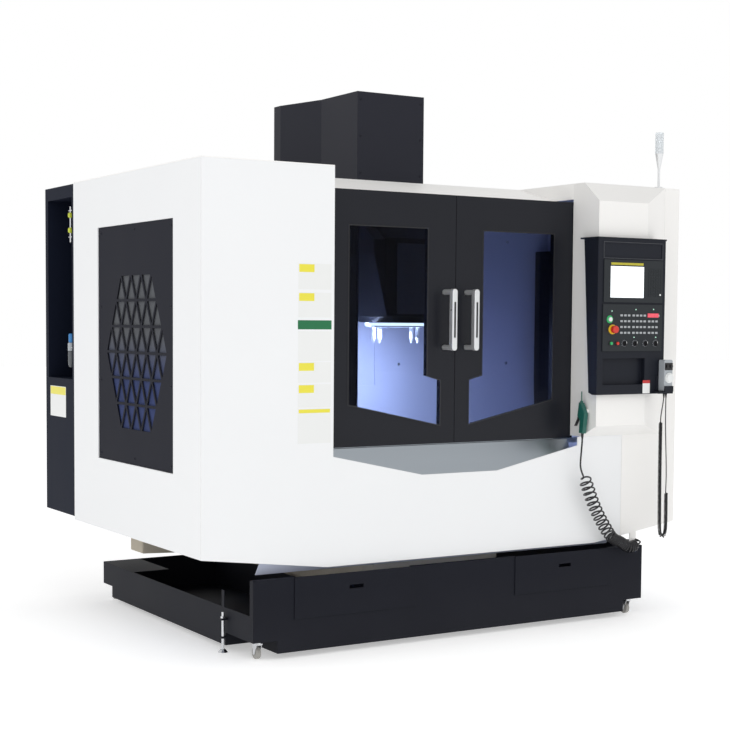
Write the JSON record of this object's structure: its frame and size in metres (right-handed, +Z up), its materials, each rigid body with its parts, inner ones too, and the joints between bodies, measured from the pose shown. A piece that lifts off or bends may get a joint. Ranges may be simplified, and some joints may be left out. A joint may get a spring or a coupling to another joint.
{
  "type": "vertical machining centre",
  "caption": "Enclosed vertical machining centre with sliding front doors, operator console, spindle head over a cross-slide table, rear cabinet and roll-out coolant tank",
  "frame": {"origin": "middle of the footprint on the floor", "axes": "+Z up, doors face -Y, +X to the operator console"},
  "size_m": [2.811, 2.2474, 2.735],
  "materials": {
    "enclosure_paint": "satin, fine orange peel",
    "header_paint": "satin",
    "dark_paint": "satin, fine texture",
    "door_paint": "semi-gloss",
    "sill_steel": "brushed",
    "casting_paint": "painted casting",
    "machined_iron": "ground",
    "guard_steel": "satin",
    "safety_glass": "clear",
    "handle_aluminium": "satin anodised",
    "pendant_plastic": "light grey, fine grain",
    "console_plastic": "fine texture",
    "plate_film": "fine grain",
    "screen": "lit panel",
    "red_plastic": "gloss",
    "green_plastic": "gloss",
    "grey_plastic": "gloss",
    "knob_plastic": "satin",
    "dial_plastic": "satin",
    "lamp_plastic": "clear",
    "pole_metal": "satin",
    "steel": "polished",
    "wheel_plastic": "smooth",
    "hose_plastic": "satin",
    "cord_rubber": "matt",
    "gun_plastic": "satin",
    "air_unit": "satin"
  },
  "bodies": {
    "machine": {"front_panel": "enclosure_paint", "front_right_panel": "enclosure_paint", "sill_tray": "sill_steel", "left_side_panel": "enclosure_paint", "right_side_panel": "enclosure_paint", "vent_cover": "dark_paint", "roof_panel": "header_paint", "column_cover": "dark_paint", "rear_wall": "enclosure_paint", "operator_box": "enclosure_paint", "console_housing": "console_plastic", "console_faceplates": "plate_film", "display_screen": "screen", "pendant_body": "pendant_plastic", "signal_pole": "pole_metal", "signal_lens": "lamp_plastic", "bed_casting": "casting_paint", "levelling_feet": "steel", "column_casting": "casting_paint", "inner_rear_guard": "guard_steel", "chip_pan": "guard_steel", "electrical_cabinet": "dark_paint", "air_preparation_unit": "air_unit", "air_gun_body": "gun_plastic", "air_hose_tube": "hose_plastic", "air_hose_coil": "hose_plastic", "pendant_cord_leads": "cord_rubber", "pendant_curly_cord": "cord_rubber"},
    "left_door": {"left_door_frame": "door_paint", "left_window": "safety_glass", "left_handle": "handle_aluminium"},
    "right_door": {"right_door_frame": "door_paint", "right_window": "safety_glass", "right_handle": "handle_aluminium"},
    "saddle_axis": {"saddle": "casting_paint"},
    "table_axis": {"table": "machined_iron"},
    "head_axis": {"spindle_head": "dark_paint", "ring_lamp": "pole_metal", "head_way_cover": "steel"},
    "spindle_shaft": {"spindle": "steel"},
    "magazine": {"tool_magazine": "machined_iron"},
    "rear_cabinet_door": {"cabinet_door": "dark_paint"},
    "stop_mushroom": {"emergency_stop": "red_plastic"},
    "start_push": {"start_button": "green_plastic"},
    "end_push": {"stop_button": "red_plastic"},
    "power_push": {"power_button": "grey_plastic"},
    "knob_1": {"rotary_knob_1": "knob_plastic"},
    "knob_2": {"rotary_knob_2": "knob_plastic"},
    "knob_3": {"rotary_knob_3": "knob_plastic"},
    "knob_4": {"rotary_knob_4": "knob_plastic"},
    "pendant_dial": {"handwheel_dial": "dial_plastic"},
    "trigger": {"gun_trigger": "knob_plastic"},
    "tank": {"coolant_tank": "dark_paint", "tank_supports": "steel"},
    "drawer_left": {"left_chip_drawer": "dark_paint"},
    "drawer_right": {"right_chip_drawer": "dark_paint"},
    "wheel_front_left": {"caster_wheel_front_left": "wheel_plastic"},
    "wheel_front_right": {"caster_wheel_front_right": "wheel_plastic"},
    "wheel_rear_left": {"caster_wheel_rear_left": "wheel_plastic"},
    "wheel_rear_right": {"caster_wheel_rear_right": "wheel_plastic"}
  },
  "joints": [
    {"name": "left_door_slide", "type": "slide", "parent": "machine", "child": "left_door", "axis": [-1, 0, 0], "range_m": [0, 0.6]},
    {"name": "right_door_slide", "type": "slide", "parent": "machine", "child": "right_door", "axis": [1, 0, 0], "range_m": [0, 0.6]},
    {"name": "saddle_slide", "type": "slide", "parent": "machine", "child": "saddle_axis", "axis": [0, 1, 0], "range_m": [-0.2, 0.2]},
    {"name": "table_slide", "type": "slide", "parent": "saddle_axis", "child": "table_axis", "axis": [1, 0, 0], "range_m": [-0.4, 0.4]},
    {"name": "head_slide", "type": "slide", "parent": "machine", "child": "head_axis", "axis": [0, 0, 1], "range_m": [-0.45, 0.08]},
    {"name": "spindle_turn", "type": "hinge", "parent": "head_axis", "child": "spindle_shaft", "pos_m": [0, -0.28475, 1.6], "axis": [0, 0, 1], "continuous": true},
    {"name": "magazine_turn", "type": "hinge", "parent": "machine", "child": "magazine", "pos_m": [-0.645, 0.27325, 1.75], "axis": [0, 1, 0], "continuous": true},
    {"name": "cabinet_door_hinge", "type": "hinge", "parent": "machine", "child": "rear_cabinet_door", "pos_m": [-0.34, 1.12425, 1.381], "axis": [0, 0, -1], "range_deg": [0, 100]},
    {"name": "emergency_stop_press", "type": "slide", "parent": "machine", "child": "stop_mushroom", "axis": [0, 1, 0], "range_m": [0, 0.006]},
    {"name": "start_press", "type": "slide", "parent": "machine", "child": "start_push", "axis": [0, 1, 0], "range_m": [0, 0.0035], "stiffness_N_per_m": 400},
    {"name": "stop_press", "type": "slide", "parent": "machine", "child": "end_push", "axis": [0, 1, 0], "range_m": [0, 0.0035], "stiffness_N_per_m": 400},
    {"name": "power_press", "type": "slide", "parent": "machine", "child": "power_push", "axis": [0, 1, 0], "range_m": [0, 0.0035], "stiffness_N_per_m": 400},
    {"name": "knob_1_turn", "type": "hinge", "parent": "machine", "child": "knob_1", "pos_m": [0.898, -1.06475, 1.446], "axis": [0, 1, 0], "range_deg": [-70, 70]},
    {"name": "knob_2_turn", "type": "hinge", "parent": "machine", "child": "knob_2", "pos_m": [0.969, -1.06475, 1.446], "axis": [0, 1, 0], "range_deg": [-70, 70]},
    {"name": "knob_3_turn", "type": "hinge", "parent": "machine", "child": "knob_3", "pos_m": [1.039, -1.06475, 1.446], "axis": [0, 1, 0], "range_deg": [-70, 70]},
    {"name": "knob_4_turn", "type": "hinge", "parent": "machine", "child": "knob_4", "pos_m": [1.108, -1.06475, 1.446], "axis": [0, 1, 0], "range_deg": [-70, 70]},
    {"name": "dial_turn", "type": "hinge", "parent": "machine", "child": "pendant_dial", "pos_m": [1.164, -1.10475, 1.268], "axis": [0, 1, 0], "continuous": true},
    {"name": "trigger_pull", "type": "hinge", "parent": "machine", "child": "trigger", "pos_m": [0.727, -0.91475, 1.086], "axis": [-1, 0, 0], "range_deg": [0, 14], "stiffness_Nm_per_rad": 0.3, "springref_deg": -5.73},
    {"name": "tank_roll_out", "type": "slide", "parent": "machine", "child": "tank", "axis": [0, -1, 0], "range_m": [0, 1]},
    {"name": "left_drawer_slide", "type": "slide", "parent": "tank", "child": "drawer_left", "axis": [0, -1, 0], "range_m": [0, 0.19]},
    {"name": "right_drawer_slide", "type": "slide", "parent": "tank", "child": "drawer_right", "axis": [0, -1, 0], "range_m": [0, 0.19]},
    {"name": "wheel_front_left_turn", "type": "hinge", "parent": "tank", "child": "wheel_front_left", "pos_m": [-1.107, -0.85475, 0.029], "axis": [1, 0, 0], "continuous": true},
    {"name": "wheel_front_right_turn", "type": "hinge", "parent": "tank", "child": "wheel_front_right", "pos_m": [1.107, -0.85475, 0.029], "axis": [1, 0, 0], "continuous": true},
    {"name": "wheel_rear_left_turn", "type": "hinge", "parent": "tank", "child": "wheel_rear_left", "pos_m": [-1.107, 0.84525, 0.029], "axis": [1, 0, 0], "continuous": true},
    {"name": "wheel_rear_right_turn", "type": "hinge", "parent": "tank", "child": "wheel_rear_right", "pos_m": [1.107, 0.84525, 0.029], "axis": [1, 0, 0], "continuous": true}
  ]
}
